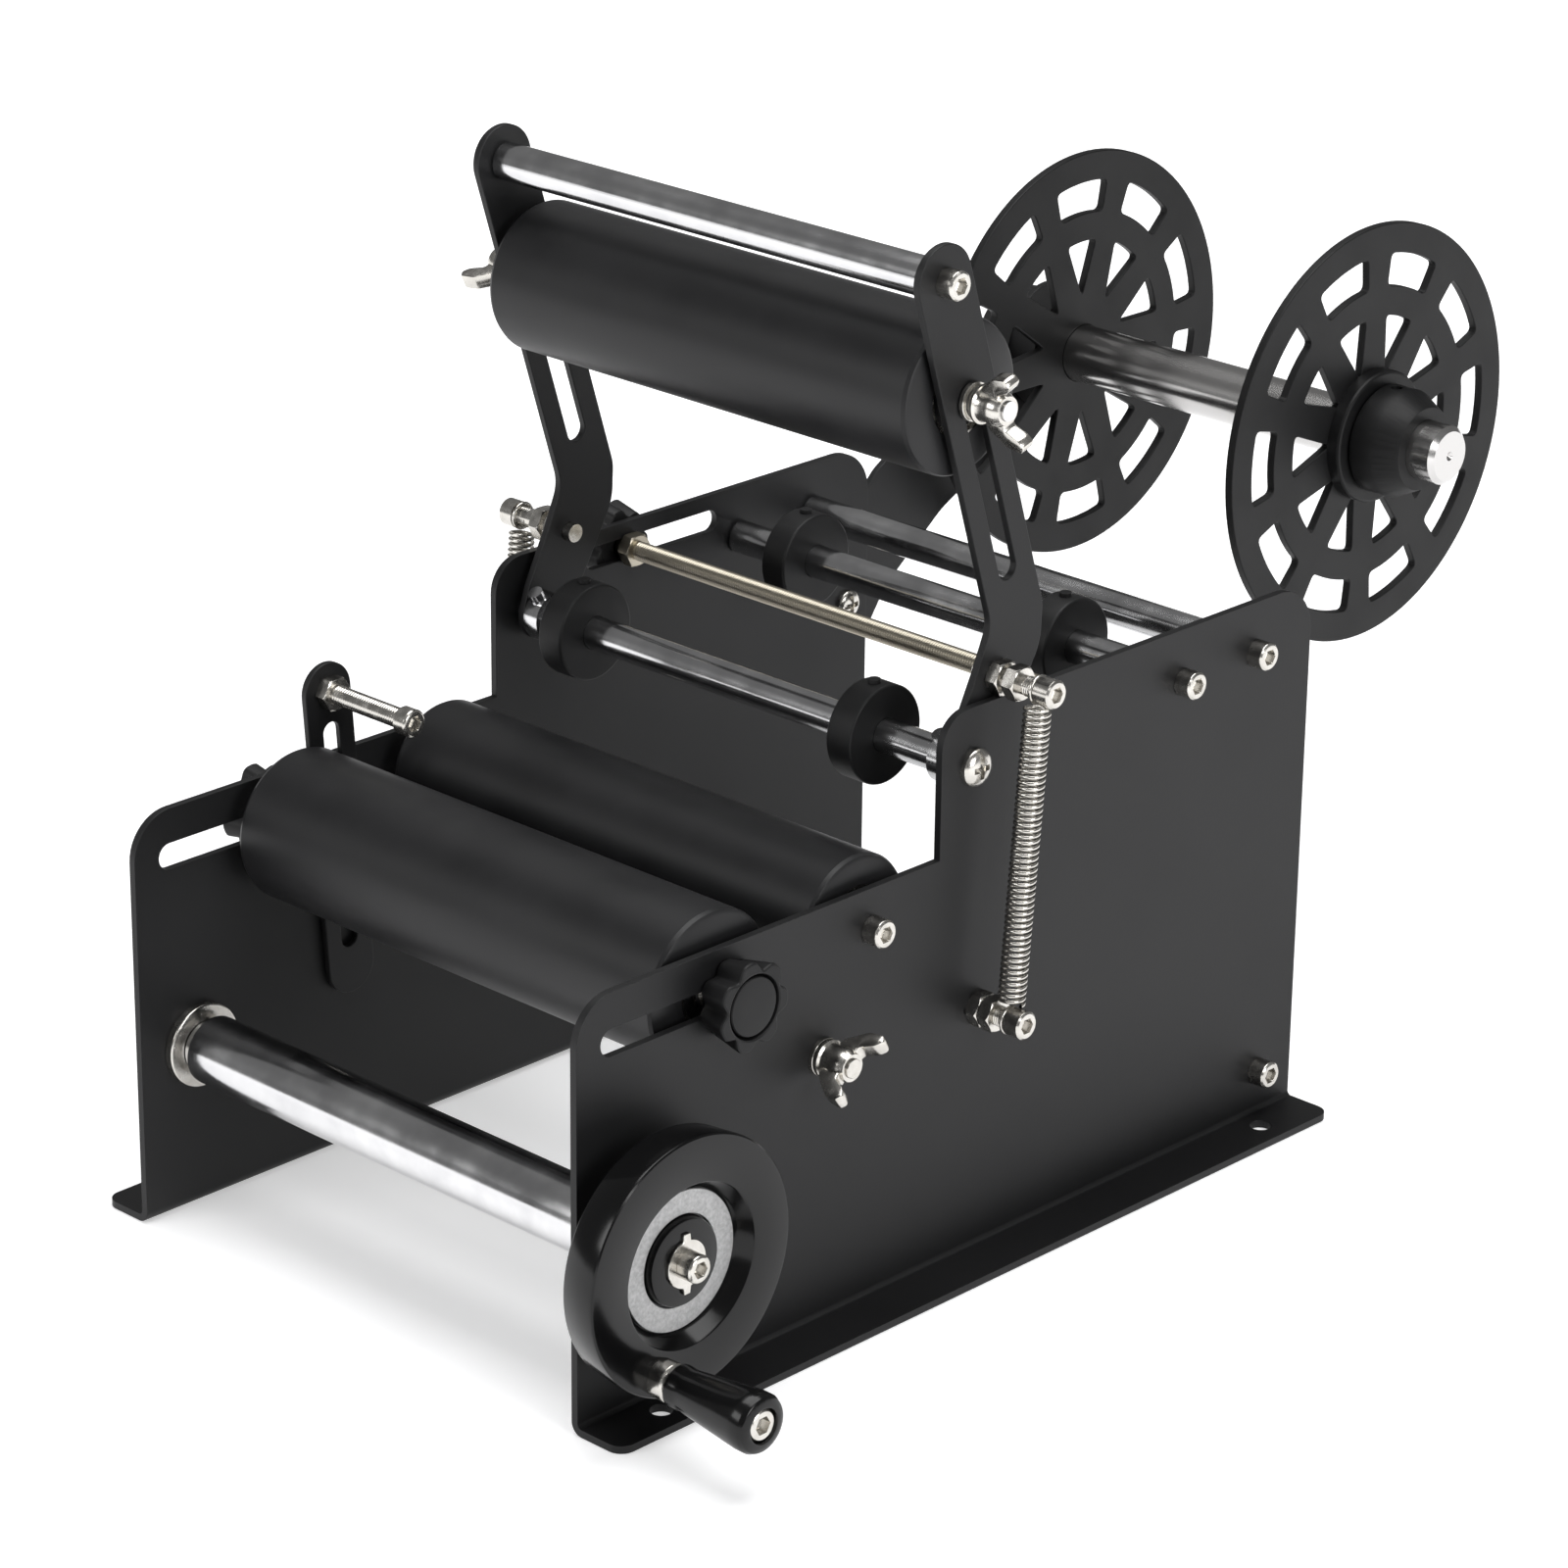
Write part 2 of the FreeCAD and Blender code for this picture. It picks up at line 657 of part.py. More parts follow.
def crank_bolt():
    """Shoulder bolt the grip turns on: neck against the rim, head sunk in the grip."""
    pin_end = wheel_x[0] + 3
    face = wheel_x[1]
    head = grip_x - crank_head_h
    neck = lathe([(face, 0), (face, crank_neck_d / 2), (crank_neck_x - 1, crank_neck_d / 2),
                  (crank_neck_x, crank_neck_d / 2 - 1), (crank_neck_x, 0)], crank)
    bolt = cap_screw(head, 1, crank, crank_pin_d, head - pin_end,
                     crank_head_d, crank_head_h - side_gap)
    return bolt.fuse(neck).removeSplitter()


def crank_grip():
    start = crank_neck_x + side_gap
    head = grip_x - crank_head_h - side_gap
    hole = crank_pin_d / 2 + run_gap
    sink = crank_head_d / 2 + side_gap
    body = lathe([(start, hole), (start, grip_small_d / 2 - 0.8), (start + 1, grip_small_d / 2),
                  (start + 5, grip_waist_d / 2), (start + 22, grip_large_d / 2 - 0.8),
                  (start + 29, grip_large_d / 2), (grip_x - 2.2, grip_large_d / 2),
                  (grip_x - 0.6, grip_large_d / 2 - 0.8), (grip_x, grip_large_d / 2 - 2.4),
                  (grip_x, sink), (head, sink), (head, hole)], crank)
    return body


# ---- label reel -----------------------------------------------------------------
def reel_bracket():
    """Plate arm screwed to the left side plate, carrying the reel shaft."""
    x0 = -outer - sheet
    body = slab([(284.0, 176.0, 9), (303.0, 178.0, 9), (316.0, 154.5, 9), (331.0, 169.5, 12),
                 (424.9, 225.9, bracket_head_r - 1.5), (447.0, 189.0, bracket_head_r - 1.5),
                 (364.0, 148.0, 40), (336.0, 126.5, 30), (321.0, 105.0, 10), (303.0, 112.0, 10)],
                x0, -outer)
    for at in (bracket_screw, guide_rear):
        body = body.cut(rod(x0 - 1, 1 - outer, at, m6 + hole_play))
    return body.cut(rod(x0 - 1, 1 - outer, reel, shaft_screw_d))


def reel_bracket_screws():
    """Pan head inside the plate with its nut behind the bracket, and the shaft's screw."""
    back = -outer - sheet
    foot = pan_screw(-half, 1, bracket_screw, m6, 2 * sheet + nut_h + bracket_screw_tip,
                     bracket_screw_d, bracket_screw_h)
    shaft = cap_screw(back, -1, reel, shaft_screw_d, sheet + 2 * screw_depth,
                      shaft_screw_head_d, shaft_screw_head_h)
    return Part.Compound([foot, nut(back - nut_h, back, bracket_screw, m6), shaft])


def reel_shaft():
    body = chamfered_rod(-outer, reel_shaft_end, reel, reel_shaft_d, 1.6)
    body = body.cut(rod(-outer, 2 * screw_depth - outer, reel, shaft_screw_d))
    dimple = lathe([(reel_shaft_end, 0), (reel_shaft_end, 1.6), (reel_shaft_end - 1.6, 0)], reel)
    return body.cut(dimple)


def polar(r, degrees):
    a = math.radians(degrees)
    return (reel[0] + r * math.cos(a), reel[1] + r * math.sin(a))


def reel_disc(x0):
    """Flange disc with two rings of windows and a hub boss on its outer side."""
    body = tube(x0, x0 + reel_disc_w, reel, reel_disc_d, reel_shaft_d + 2 * run_gap)
    for i in range(reel_windows):
        a = i * 360 / reel_windows
        lift = 1 / math.cos(math.radians(window_half))
        outer_window = [polar(window_in_r, a - window_half), polar(window_out_r, a - window_half),
                        polar(window_out_r * lift, a), polar(window_out_r, a + window_half),
                        polar(window_in_r, a + window_half)]
        corners = [outer_window[0] + (window_corner,), outer_window[1] + (window_corner,),
                   outer_window[2] + (window_out_r / 2,), outer_window[3] + (window_corner,),
                   outer_window[4] + (window_corner,)]
        body = body.cut(slab(corners, x0 - 1, x0 + reel_disc_w + 1))
        inner_window = [polar(spoke_in_r, a) + (1.2,),
                        polar(spoke_out_r, a - window_half) + (2.4,),
                        polar(spoke_out_r, a + window_half) + (2.4,)]
        body = body.cut(slab(inner_window, x0 - 1, x0 + reel_disc_w + 1))
    return body

def reel_disc_left():
    boss = tube(-outer + side_gap, reel_left_x, reel, reel_boss_d, reel_shaft_d + 2 * run_gap)
    return reel_disc(reel_left_x).fuse(boss).removeSplitter()


def reel_disc_right():
    back = reel_right_x + reel_disc_w
    boss = tube(back, reel_boss_right, reel, reel_boss_d, reel_shaft_d + 2 * run_gap)
    boss = round_edges(boss, 1.0, lambda e: e.CenterOfMass.x > reel_boss_right - 0.1
                       and e.BoundBox.YLength > reel_boss_d - 0.1)
    return reel_disc(reel_right_x).fuse(boss).removeSplitter()


def reel_collar():
    """Clamp collar with a tapered nose and a grub screw, holding the right disc."""
    start, end = reel_collar_x
    r = reel_collar_d / 2
    hole = reel_shaft_d / 2 + run_gap
    body = lathe([(start, hole), (start, r - 1), (start + 1, r), (start + 9, r),
                  (end, reel_collar_nose / 2), (end, hole)], reel)
    foot = V((start * 2 + 10) / 2, reel[0], reel[1] + reel_shaft_d / 2 + side_gap)
    grub = Part.makeCylinder(grub_d / 2, r - reel_shaft_d / 2 - side_gap - 1, foot)
    return Part.Compound([body.cut(Part.makeCylinder(grub_d / 2, r, foot)), grub])


# ---- bottle stop ----------------------------------------------------------------
def down_stop(distance):
    a = math.radians(stop_lean)
    return (stop_top[0] + distance * math.sin(a), stop_top[1] - distance * math.cos(a))


def stop_bolt():
    return down_stop(stop_bolt_down)


def bottle_stop_arm():
    """Slotted strip inside the left plate that carries the stop screw."""
    x0 = stop_arm_x
    x1 = x0 + stop_sheet
    body = slot(stop_top, down_stop(stop_length), stop_width, x0, x1)
    body = body.cut(slot(down_stop(stop_slot_span[0]), down_stop(stop_slot_span[1]),
                         stop_slot, x0 - 1, x1 + 1))
    return body.cut(rod(x0 - 1, x1 + 1, stop_top, m6 + 2 * run_gap))


def bottle_stop_nut():
    face = stop_arm_x + stop_sheet
    return nut(face, face + nut_h, stop_top, m6 + 2 * run_gap)


def bottle_stop_screw():
    """Long screw whose head meets the bottle's base."""
    left, right = stop_screw_x
    return cap_screw(right, 1, stop_top, m6, right - left, cap_d, stop_screw_head)


def bottle_stop_bolt():
    face = -half + stop_sheet + 2 * side_gap
    end = -outer - side_gap - wing_stud
    return cap_screw(face, 1, stop_bolt(), m6, face - end, cap_d, 3.6)


def side_bolt_right():
    """Bolt through the right plate with its washer under the wing nut."""
    end = outer + washer_h + side_gap + wing_stud
    bolt = cap_screw(half, -1, side_bolt, m6, end - half, cap_d, 3.6)
    washer = tube(outer, outer + washer_h, side_bolt, washer_d, m6)
    return Part.Compound([bolt, washer])


# ---- threaded bar ---------------------------------------------------------------
def threaded_bar():
    """Long threaded bar with its nut inside the left plate."""
    face = -half + side_gap
    end = -outer - side_gap - knob_stud
    body = rod(end, bar_end, bar, m6)
    return Part.Compound([body, nut(face, face + nut_h, bar, m6)])


# ---- press axle fittings --------------------------------------------------------
def press_axle_shaft():
    left = arm_left_x + sheet + side_gap
    right = arm_right_x - side_gap
    reach = side_gap + 2 * washer_h + side_gap + wing_stud
    return studded_axle(press_axle, press_roller_ends, (left, right), m6,
                        (arm_left_x - reach, arm_right_x + sheet + reach))


def press_washers():
    solids = []
    for face, way in ((arm_left_x, -1), (arm_right_x + sheet, 1)):
        seat = face + way * side_gap
        middle = seat + way * washer_h
        top = middle + way * washer_h
        solids.append(tube(seat, middle, press_axle, washer_d, m6))
        solids.append(tube(middle, top, press_axle, lock_washer_d, m6))
    return Part.Compound(solids)


def press_wing_nut(face, way, turn):
    return wing_nut(face + way * (2 * side_gap + 2 * washer_h), way, press_axle, turn)


def front_roller_axle():
    inside = half - side_gap
    reach = outer + side_gap + knob_stud
    return studded_axle(front_axle, front_roller_ends, (-inside, inside), front_stud_d,
                        (-reach, reach))


# ---- the whole machine ----------------------------------------------------------
low_nuts = (outer, outer + nut_h + 0.4)
up_nuts_right = (arm_right_x + sheet, arm_right_x + sheet + nut_h + 2.0)
up_nuts_left = (-arm_left_x, -arm_left_x + nut_h + 2.0)

parts = {
    "side_plate_left": side_plate(-1),
    "side_plate_right": side_plate(1),
    "low_tie_bar": cross_rod(tie, rod_d),
    "guide_rod_front": cross_rod(guide_front, rod_d),
    "guide_rod_rear": cross_rod(guide_rear, rod_d),
    "pivot_shaft": cross_rod(pivot, rod_d),
    "rod_screws": rod_screws(),
    "pivot_screws": Part.Compound(end_screws((pivot,), pan_screw)),
    "take_up_bearing_left": take_up_bearing(-1),
    "take_up_bearing_right": take_up_bearing(1),
    "reel_bracket": reel_bracket(),
    "reel_bracket_screws": reel_bracket_screws(),
    "reel_shaft": reel_shaft(),
    "lower_spring_studs": spring_studs(stud_low, half - 3.0, low_nuts, low_nuts),
    "rear_roller_axle": rear_roller_axle(),
    "rear_roller": roller(rear_axle, rear_roller_ends, rear_roller_d),
    "rear_roller_bearings": roller_bearings(rear_axle, rear_roller_ends),
    "front_roller_axle": front_roller_axle(),
    "front_roller": roller(front_axle, front_roller_ends, front_roller_d),
    "front_roller_bearings": roller_bearings(front_axle, front_roller_ends),
    "front_knob_left": star_knob(-outer - side_gap, -1, front_axle, front_stud_d),
    "front_knob_right": star_knob(outer + side_gap, 1, front_axle, front_stud_d),
    "press_arm_left": press_arm(arm_left_x),
    "press_arm_right": press_arm(arm_right_x),
    "crossbar": crossbar(),
    "crossbar_screws": crossbar_screws(),
    "arm_lock_rings": arm_lock_rings(),
    "upper_spring_studs": spring_studs(stud_up, stud_tip, up_nuts_right, up_nuts_left),
    "press_axle": press_axle_shaft(),
    "press_washers": press_washers(),
    "press_roller": roller(press_axle, press_roller_ends, press_roller_d),
    "press_roller_bearings": roller_bearings(press_axle, press_roller_ends),
    "press_wing_nut_left": press_wing_nut(arm_left_x, -1, press_wing_turn),
    "press_wing_nut_right": press_wing_nut(arm_right_x + sheet, 1, press_wing_turn),
    "take_up_shaft": take_up_shaft(),
    "handwheel": handwheel(),
    "handwheel_ring": tube(dish_x, ring_x, take_up, ring_out_d, ring_in_d),
    "handwheel_screw": handwheel_screw(),
    "crank_bolt": crank_bolt(),
    "crank_grip": crank_grip(),
    "reel_disc_left": reel_disc_left(),
    "reel_disc_right": reel_disc_right(),
    "reel_collar": reel_collar(),
    "guide_collar_pivot_left": guide_collar(pivot_collars[0], pivot),
    "guide_collar_pivot_right": guide_collar(pivot_collars[1], pivot),
    "guide_collar_rear_left": guide_collar(guide_collars[0], guide_front),
    "guide_collar_rear_right": guide_collar(guide_collars[1], guide_front),
    "bottle_stop_arm": bottle_stop_arm(),
    "bottle_stop_screw": bottle_stop_screw(),
    "bottle_stop_nut": bottle_stop_nut(),
    "bottle_stop_bolt": bottle_stop_bolt(),
    "bottle_wing_nut_left": wing_nut(-outer - side_gap, -1, stop_bolt(), side_wing_turn),
    "side_bolt_right": side_bolt_right(),
    "side_wing_nut_right": wing_nut(outer + washer_h + side_gap, 1, side_bolt, side_wing_turn),
    "threaded_bar": threaded_bar(),
    "bar_knob": star_knob(-outer - side_gap, -1, bar, m6),
    "spring_left": tension_spring(-1),
    "spring_right": tension_spring(1),
}

os.makedirs("parts", exist_ok=True)
for name, shape in parts.items():
    shape.translate(V(0, -plate_depth / 2, 0))
    shape.exportStep("parts/" + name + ".step")
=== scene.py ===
import bpy, bmesh, json, math
from mathutils import Matrix, Vector

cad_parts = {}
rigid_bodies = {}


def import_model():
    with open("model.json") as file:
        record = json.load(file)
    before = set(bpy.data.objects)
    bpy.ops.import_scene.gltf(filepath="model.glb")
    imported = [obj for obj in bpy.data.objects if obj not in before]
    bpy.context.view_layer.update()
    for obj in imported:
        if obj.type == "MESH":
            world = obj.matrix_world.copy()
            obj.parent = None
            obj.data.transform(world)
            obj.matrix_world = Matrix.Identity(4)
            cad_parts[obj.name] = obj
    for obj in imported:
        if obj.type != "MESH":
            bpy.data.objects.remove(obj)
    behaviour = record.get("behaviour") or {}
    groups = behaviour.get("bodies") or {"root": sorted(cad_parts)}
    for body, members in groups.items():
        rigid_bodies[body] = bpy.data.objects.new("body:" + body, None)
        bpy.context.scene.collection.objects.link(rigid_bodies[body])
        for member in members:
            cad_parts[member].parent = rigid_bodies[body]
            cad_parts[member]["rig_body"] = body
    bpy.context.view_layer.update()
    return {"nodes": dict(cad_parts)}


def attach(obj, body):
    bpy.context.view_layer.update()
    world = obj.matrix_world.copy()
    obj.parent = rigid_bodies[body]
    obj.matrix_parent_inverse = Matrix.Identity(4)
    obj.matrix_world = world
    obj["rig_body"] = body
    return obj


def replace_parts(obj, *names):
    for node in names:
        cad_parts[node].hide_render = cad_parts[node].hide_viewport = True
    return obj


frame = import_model()
nodes = frame["nodes"]

# ---- Camera ------------------------------------------------------------------
# A long lens looks down on the machine from its front right corner.
camera_data = bpy.data.cameras.new("camera")
camera = bpy.data.objects.new("camera", camera_data)
bpy.context.scene.collection.objects.link(camera)
bpy.context.scene.camera = camera
camera_data.sensor_width = 36
camera_data.lens = 123.55
camera_data.clip_end = 20
camera.location = (1.0869, -1.11205, 0.7487)
camera.rotation_euler = (Matrix.Rotation(math.radians(43.76), 3, "Z")
                         @ Matrix.Rotation(math.radians(90 - 21.71), 3, "X")
                         @ Matrix.Rotation(math.radians(0.66), 3, "Z")).to_euler()


# ---- Studio ------------------------------------------------------------------
# A white paper sweep under the machine, lit by a large overhead softbox, a long
# one in front and a small one on the crank side.
def make_material(name):
    """Empty node material; returns it with its nodes, links and surface shader."""
    material = bpy.data.materials.new(name)
    material.use_nodes = True
    tree = material.node_tree
    return material, tree.nodes, tree.links, tree.nodes["Principled BSDF"]


bpy.context.scene.view_settings.view_transform = "Standard"

paper, pn, pl, paper_bsdf = make_material("white_paper")
paper_bsdf.inputs["Base Color"].default_value = (0.80, 0.80, 0.81, 1)
paper_bsdf.inputs["Roughness"].default_value = 0.9
paper_bsdf.inputs["Specular IOR Level"].default_value = 0.1
# Painted light: the paper glows for camera and glossy rays, weaker near the machine and stronger
# far off, which paints shade on the paper round the machine.
ray = pn.new("ShaderNodeLightPath")
painted_floor_glow = pn.new("ShaderNodeEmission")
painted_floor_glow.inputs["Color"].default_value = (1, 1, 1, 1)
either = pn.new("ShaderNodeMath")
either.operation = "MAXIMUM"
strength = pn.new("ShaderNodeMath")
strength.operation = "MULTIPLY"
spot = pn.new("ShaderNodeTexCoord")
far = pn.new("ShaderNodeVectorMath")
far.operation = "LENGTH"
painted_glow_falloff = pn.new("ShaderNodeMapRange")
painted_glow_falloff.inputs["From Min"].default_value = 0.35
painted_glow_falloff.inputs["From Max"].default_value = 1.2
painted_glow_falloff.inputs["To Min"].default_value = 0.46
painted_glow_falloff.inputs["To Max"].default_value = 0.9
pl.new(spot.outputs["Object"], far.inputs[0])
pl.new(far.outputs["Value"], painted_glow_falloff.inputs["Value"])
pl.new(painted_glow_falloff.outputs["Result"], strength.inputs[1])
both = pn.new("ShaderNodeAddShader")
pl.new(ray.outputs["Is Camera Ray"], either.inputs[0])
pl.new(ray.outputs["Is Glossy Ray"], either.inputs[1])
pl.new(either.outputs[0], strength.inputs[0])
pl.new(strength.outputs[0], painted_floor_glow.inputs["Strength"])
pl.new(paper_bsdf.outputs[0], both.inputs[0])
pl.new(painted_floor_glow.outputs[0], both.inputs[1])
pl.new(both.outputs[0], pn["Material Output"].inputs["Surface"])

floor_mesh = bpy.data.meshes.new("floor")
bm = bmesh.new()
bmesh.ops.create_grid(bm, x_segments=1, y_segments=1, size=6)
bm.to_mesh(floor_mesh)
bm.free()
floor = bpy.data.objects.new("floor", floor_mesh)
bpy.context.scene.collection.objects.link(floor)
floor_mesh.materials.append(paper)
floor.location.z = -0.0002

world = bpy.data.worlds.new("studio")
bpy.context.scene.world = world
world.use_nodes = True
wn, wl = world.node_tree.nodes, world.node_tree.links
sky = wn["Background"]
sky.inputs["Color"].default_value = (1, 1, 1, 1)
seen = wn.new("ShaderNodeLightPath")
mixed = wn.new("ShaderNodeMapRange")
mixed.inputs["To Min"].default_value = 0.17
mixed.inputs["To Max"].default_value = 1.0
wl.new(seen.outputs["Is Camera Ray"], mixed.inputs["Value"])
wl.new(mixed.outputs[0], sky.inputs["Strength"])


def softbox(name, place, aim, width, height, power):
    data = bpy.data.lights.new(name, "AREA")
    data.shape = "RECTANGLE"
    data.size = width
    data.size_y = height
    data.energy = power
    lamp = bpy.data.objects.new(name, data)
    bpy.context.scene.collection.objects.link(lamp)
    lamp.location = place
    lamp.rotation_euler = (Vector(aim) - Vector(place)).to_track_quat("-Z", "Y").to_euler()


softbox("overhead_softbox", (0.0, 0.15, 1.6), (0, 0.05, 0), 1.5, 1.3, 25)
softbox("front_softbox", (-0.5, -1.7, 0.9), (0, 0, 0.12), 1.2, 0.7, 11)
softbox("crank_side_softbox", (1.8, -0.2, 0.8), (0, 0, 0.12), 0.8, 0.9, 16)


# ---- Coated sheet: side plates, press arms, bracket, stop arm ---------------------
# Laser-cut steel sheet, folded and powder coated matt black. The coat has a fine
# orange-peel grain, and its tone and gloss drift a little from place to place.
MM = 0.001


def object_noise(tree_nodes, links, scale, detail=3.0, roughness=0.55):
    """Noise on Object coordinates; returns its factor output."""
    place = tree_nodes.new("ShaderNodeTexCoord")
    noise = tree_nodes.new("ShaderNodeTexNoise")
    noise.inputs["Scale"].default_value = scale
    noise.inputs["Detail"].default_value = detail
    noise.inputs["Roughness"].default_value = roughness
    links.new(place.outputs["Object"], noise.inputs["Vector"])
    return noise.outputs["Fac"]


def remap(tree_nodes, links, source, low, high, start=0.3, end=0.7):
    """Spread a noise factor over a value range."""
    node = tree_nodes.new("ShaderNodeMapRange")
    node.inputs["From Min"].default_value = start
    node.inputs["From Max"].default_value = end
    node.inputs["To Min"].default_value = low
    node.inputs["To Max"].default_value = high
    links.new(source, node.inputs["Value"])
    return node.outputs[0]


def tint(tree_nodes, links, source, dark, light, start=0.3, end=0.7):
    """Colour that runs between two tones with a noise factor."""
    ramp = tree_nodes.new("ShaderNodeValToRGB")
    ramp.color_ramp.elements[0].position = start
    ramp.color_ramp.elements[0].color = (*dark, 1)
    ramp.color_ramp.elements[1].position = end
    ramp.color_ramp.elements[1].color = (*light, 1)
    links.new(source, ramp.inputs["Fac"])
    return ramp.outputs["Color"]


def grain(tree_nodes, links, source, strength, depth, surface):
    """Bump from a noise factor, with its depth in metres."""
    bump = tree_nodes.new("ShaderNodeBump")
    bump.inputs["Strength"].default_value = strength
    bump.inputs["Distance"].default_value = depth
    links.new(source, bump.inputs["Height"])
    links.new(bump.outputs["Normal"], surface.inputs["Normal"])


coated, cn, cl, coat = make_material("powder_coated_black")
peel = object_noise(cn, cl, 1400, 2)
cloud = object_noise(cn, cl, 14, 4)
cl.new(tint(cn, cl, cloud, (0.0060, 0.0060, 0.0065), (0.0084, 0.0084, 0.0090)),
       coat.inputs["Base Color"])
cl.new(remap(cn, cl, cloud, 0.44, 0.52), coat.inputs["Roughness"])
coat.inputs["Specular IOR Level"].default_value = 0.32
grain(cn, cl, peel, 0.35, 0.00006, coat)


def wear(node, material):
    """Give a CAD node one material all over."""
    mesh = nodes[node].data
    mesh.materials.clear()
    mesh.materials.append(material)
    for face in mesh.polygons:
        face.material_index = 0


def eased(node, width, material, segments=2):
    """Copy of a CAD node with its sharp edges rounded over, standing in for it."""
    mesh = nodes[node].data.copy()
    bm = bmesh.new()
    bm.from_mesh(mesh)
    bmesh.ops.remove_doubles(bm, verts=bm.verts, dist=1e-6)
    bmesh.ops.dissolve_limit(bm, angle_limit=math.radians(0.5), verts=bm.verts, edges=bm.edges)
    sharp = [edge for edge in bm.edges
             if len(edge.link_faces) == 2 and edge.calc_face_angle() > math.radians(38)]
    bmesh.ops.bevel(bm, geom=sharp, offset=width, offset_type="OFFSET", segments=segments,
                    profile=0.5, affect="EDGES", clamp_overlap=True, material=-1)
    bm.to_mesh(mesh)
    bm.free()
    piece = bpy.data.objects.new(node + "_eased", mesh)
    bpy.context.scene.collection.objects.link(piece)
    mesh.materials.clear()
    mesh.materials.append(material)
    mesh.polygons.foreach_set("use_smooth", [True] * len(mesh.polygons))
    mesh.set_sharp_from_angle(angle=math.radians(20))
    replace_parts(piece, node)
    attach(piece, nodes[node]["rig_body"])


for name in ("side_plate_left", "side_plate_right", "press_arm_left", "press_arm_right",
             "reel_bracket", "bottle_stop_arm"):
    eased(name, 0.3 * MM, coated)


# ---- Chromed bars: rods, crossbar, axles, take-up shaft ---------------------------
# Ground steel bar, hard-chromed: bright, with fine pits and a faint drag along its length.
chrome, hn, hl, chrome_bsdf = make_material("hard_chrome")
chrome_bsdf.inputs["Metallic"].default_value = 1
speck = object_noise(hn, hl, 900, 3)
smear = object_noise(hn, hl, 60, 4)
hl.new(tint(hn, hl, smear, (0.60, 0.60, 0.61), (0.74, 0.74, 0.745)),
       chrome_bsdf.inputs["Base Color"])
hl.new(remap(hn, hl, smear, 0.10, 0.22), chrome_bsdf.inputs["Roughness"])
grain(hn, hl, speck, 0.25, 0.00003, chrome_bsdf)

for name in ("low_tie_bar", "guide_rod_front", "guide_rod_rear", "pivot_shaft", "crossbar",
             "front_roller_axle", "rear_roller_axle", "press_axle", "arm_lock_rings",
             "take_up_shaft"):
    wear(name, chrome)


# ---- Rollers ---------------------------------------------------------------------
# Steel tubes with a ground black rubber face, turning on a ball bearing in each end.
# Sizes are in millimetres, with y measured back from the front edge of the plates.
BACK = 161.75       # the plates' front edge lies this far in front of the origin
rubber, rn, rl, rubber_bsdf = make_material("ground_rubber")
mottle = object_noise(rn, rl, 26, 4)
pore = object_noise(rn, rl, 1800, 2)
rl.new(tint(rn, rl, mottle, (0.0085, 0.0085, 0.0092), (0.0125, 0.0125, 0.0134)),
       rubber_bsdf.inputs["Base Color"])
rl.new(remap(rn, rl, mottle, 0.38, 0.48), rubber_bsdf.inputs["Roughness"])
rubber_bsdf.inputs["Specular IOR Level"].default_value = 0.34
grain(rn, rl, pore, 0.3, 0.00005, rubber_bsdf)


def finish_mesh(name, bm, material, body, crease=25):
    """Turn a bmesh drawn in millimetres into a piece that rides on a body."""
    bmesh.ops.remove_doubles(bm, verts=bm.verts, dist=0.001)
    bmesh.ops.recalc_face_normals(bm, faces=bm.faces)
    bmesh.ops.scale(bm, verts=bm.verts, vec=(MM, MM, MM))
    mesh = bpy.data.meshes.new(name)
    bm.to_mesh(mesh)
    bm.free()
    mesh.polygons.foreach_set("use_smooth", [True] * len(mesh.polygons))
    mesh.set_sharp_from_angle(angle=math.radians(crease))
    mesh.materials.append(material)
    piece = bpy.data.objects.new(name, mesh)
    bpy.context.scene.collection.objects.link(piece)
    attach(piece, body)
    return piece


def turn(bm, profile, centre, steps=72):
    """Spin a closed (x, radius) profile about the line along X through centre."""
    y, z = centre
    verts = [bm.verts.new((x, y - BACK, z + r)) for x, r in profile]
    edges = [bm.edges.new((a, b)) for a, b in zip(verts, verts[1:] + verts[:1])]
    bmesh.ops.spin(bm, geom=verts + edges, cent=(0, y - BACK, z), axis=(1, 0, 0),
                   angle=2 * math.pi, steps=steps, use_merge=True)


def lathed(name, profile, centre, material, body, steps=72):
    """One turned piece, from its closed profile."""
    bm = bmesh.new()
    turn(bm, profile, centre, steps)
    piece = finish_mesh(name, bm, material, body)
    return piece


# axle (y, z), radius, left end, right end
ROLLERS = {"front_roller": ((60.0, 120.0), 24.5, -88.8, 91.5),
           "rear_roller": ((121.0, 122.4), 21.5, -89.0, 91.5),
           "press_roller": ((163.16, 275.5), 24.0, -85.4, 90.0)}
END_BORE = 12.2
CORE_BORE = 11.9
for name, (centre, r, left, right) in ROLLERS.items():
    face = [(left, END_BORE), (left, r - 1.7), (left + 0.5, r - 0.6), (left + 1.7, r),
            (right - 1.7, r), (right - 0.5, r - 0.6), (right, r - 1.7), (right, END_BORE),
            (right - 8, CORE_BORE), (left + 8, CORE_BORE)]
    piece = lathed(name + "_sleeve", face, centre, rubber, name, 96)
    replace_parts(piece, name)


# ---- Nickel-plated fasteners ------------------------------------------------------
# Bought steel screws, nuts and washers with a bright, slightly warm nickel plate.
nickel, kn, kl, nickel_bsdf = make_material("nickel_plate")
nickel_bsdf.inputs["Metallic"].default_value = 1
dull = object_noise(kn, kl, 260, 3)
kl.new(tint(kn, kl, dull, (0.56, 0.54, 0.50), (0.70, 0.68, 0.64)),
       nickel_bsdf.inputs["Base Color"])
kl.new(remap(kn, kl, dull, 0.16, 0.30), nickel_bsdf.inputs["Roughness"])
grain(kn, kl, dull, 0.2, 0.00004, nickel_bsdf)

